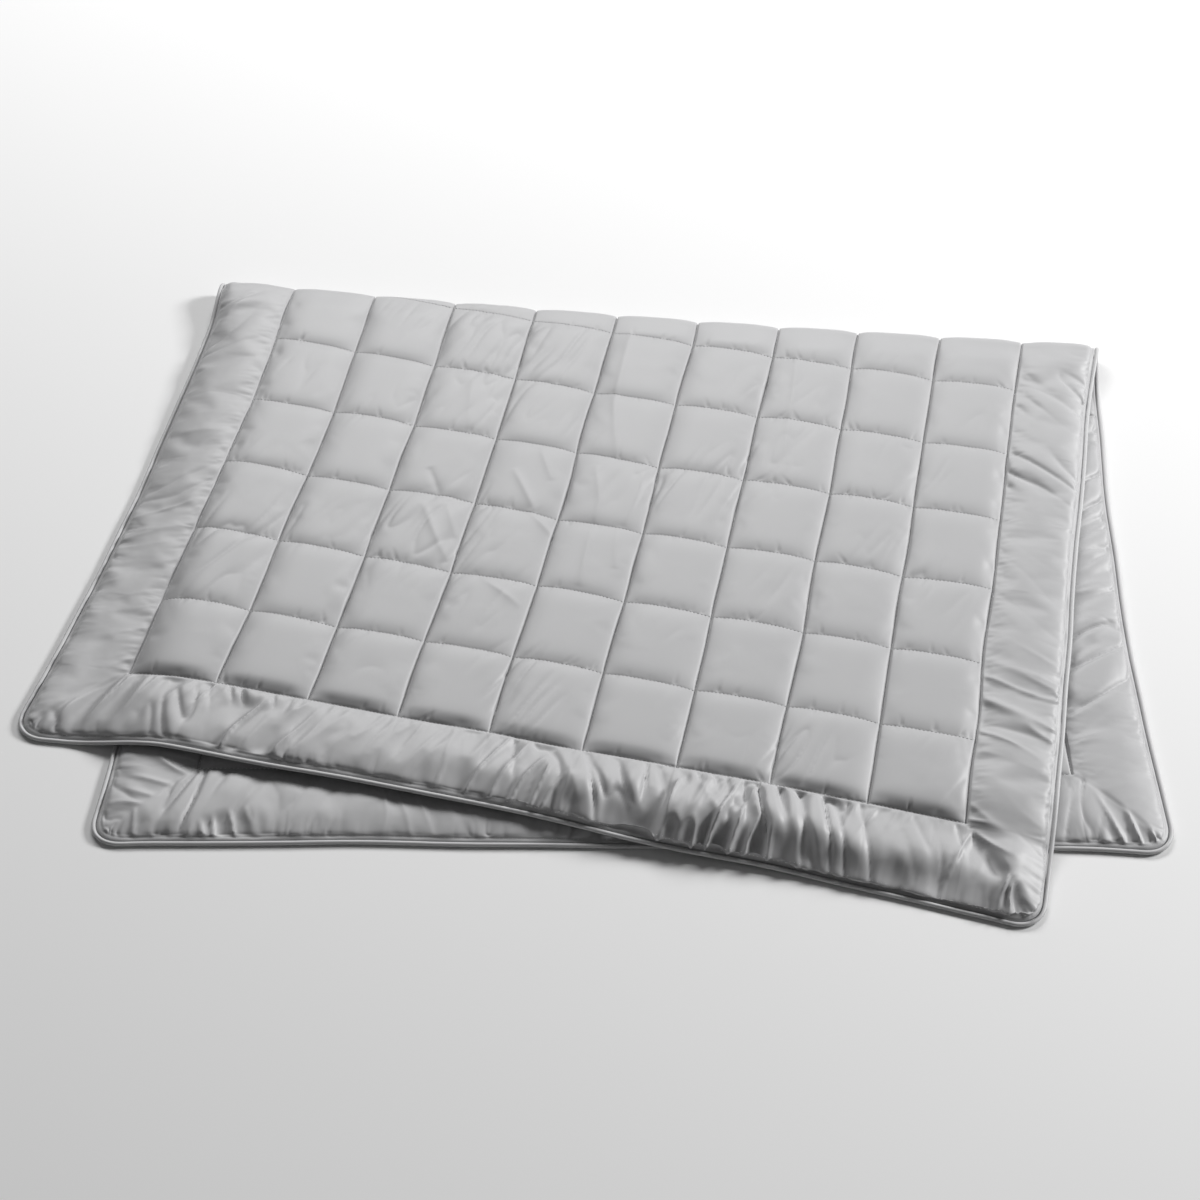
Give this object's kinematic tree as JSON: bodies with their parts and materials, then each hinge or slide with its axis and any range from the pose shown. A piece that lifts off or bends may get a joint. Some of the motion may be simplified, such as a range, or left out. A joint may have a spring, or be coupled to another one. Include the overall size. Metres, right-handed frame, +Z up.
{
  "type": "folded quilted duvet",
  "caption": "Filled duvet folded once across its length: a square-quilted centre in a plain puffed border with mitred corners and a corded piping round the edge.",
  "frame": {"origin": "the middle of the bottom of the box round the folded duvet, on what it lies on", "axes": "+X along the fold, +Y from the open edges to the fold, +Z up"},
  "size_m": [1.5398, 1.0734, 0.0439],
  "materials": {
    "cover_cloth": "light grey cotton sateen with a soft sheen",
    "piping_cloth": "paler grey satin bias cloth over a cord"
  },
  "bodies": {
    "root": {"quilted_body": "cover_cloth", "piping": "piping_cloth"}
  },
  "joints": []
}
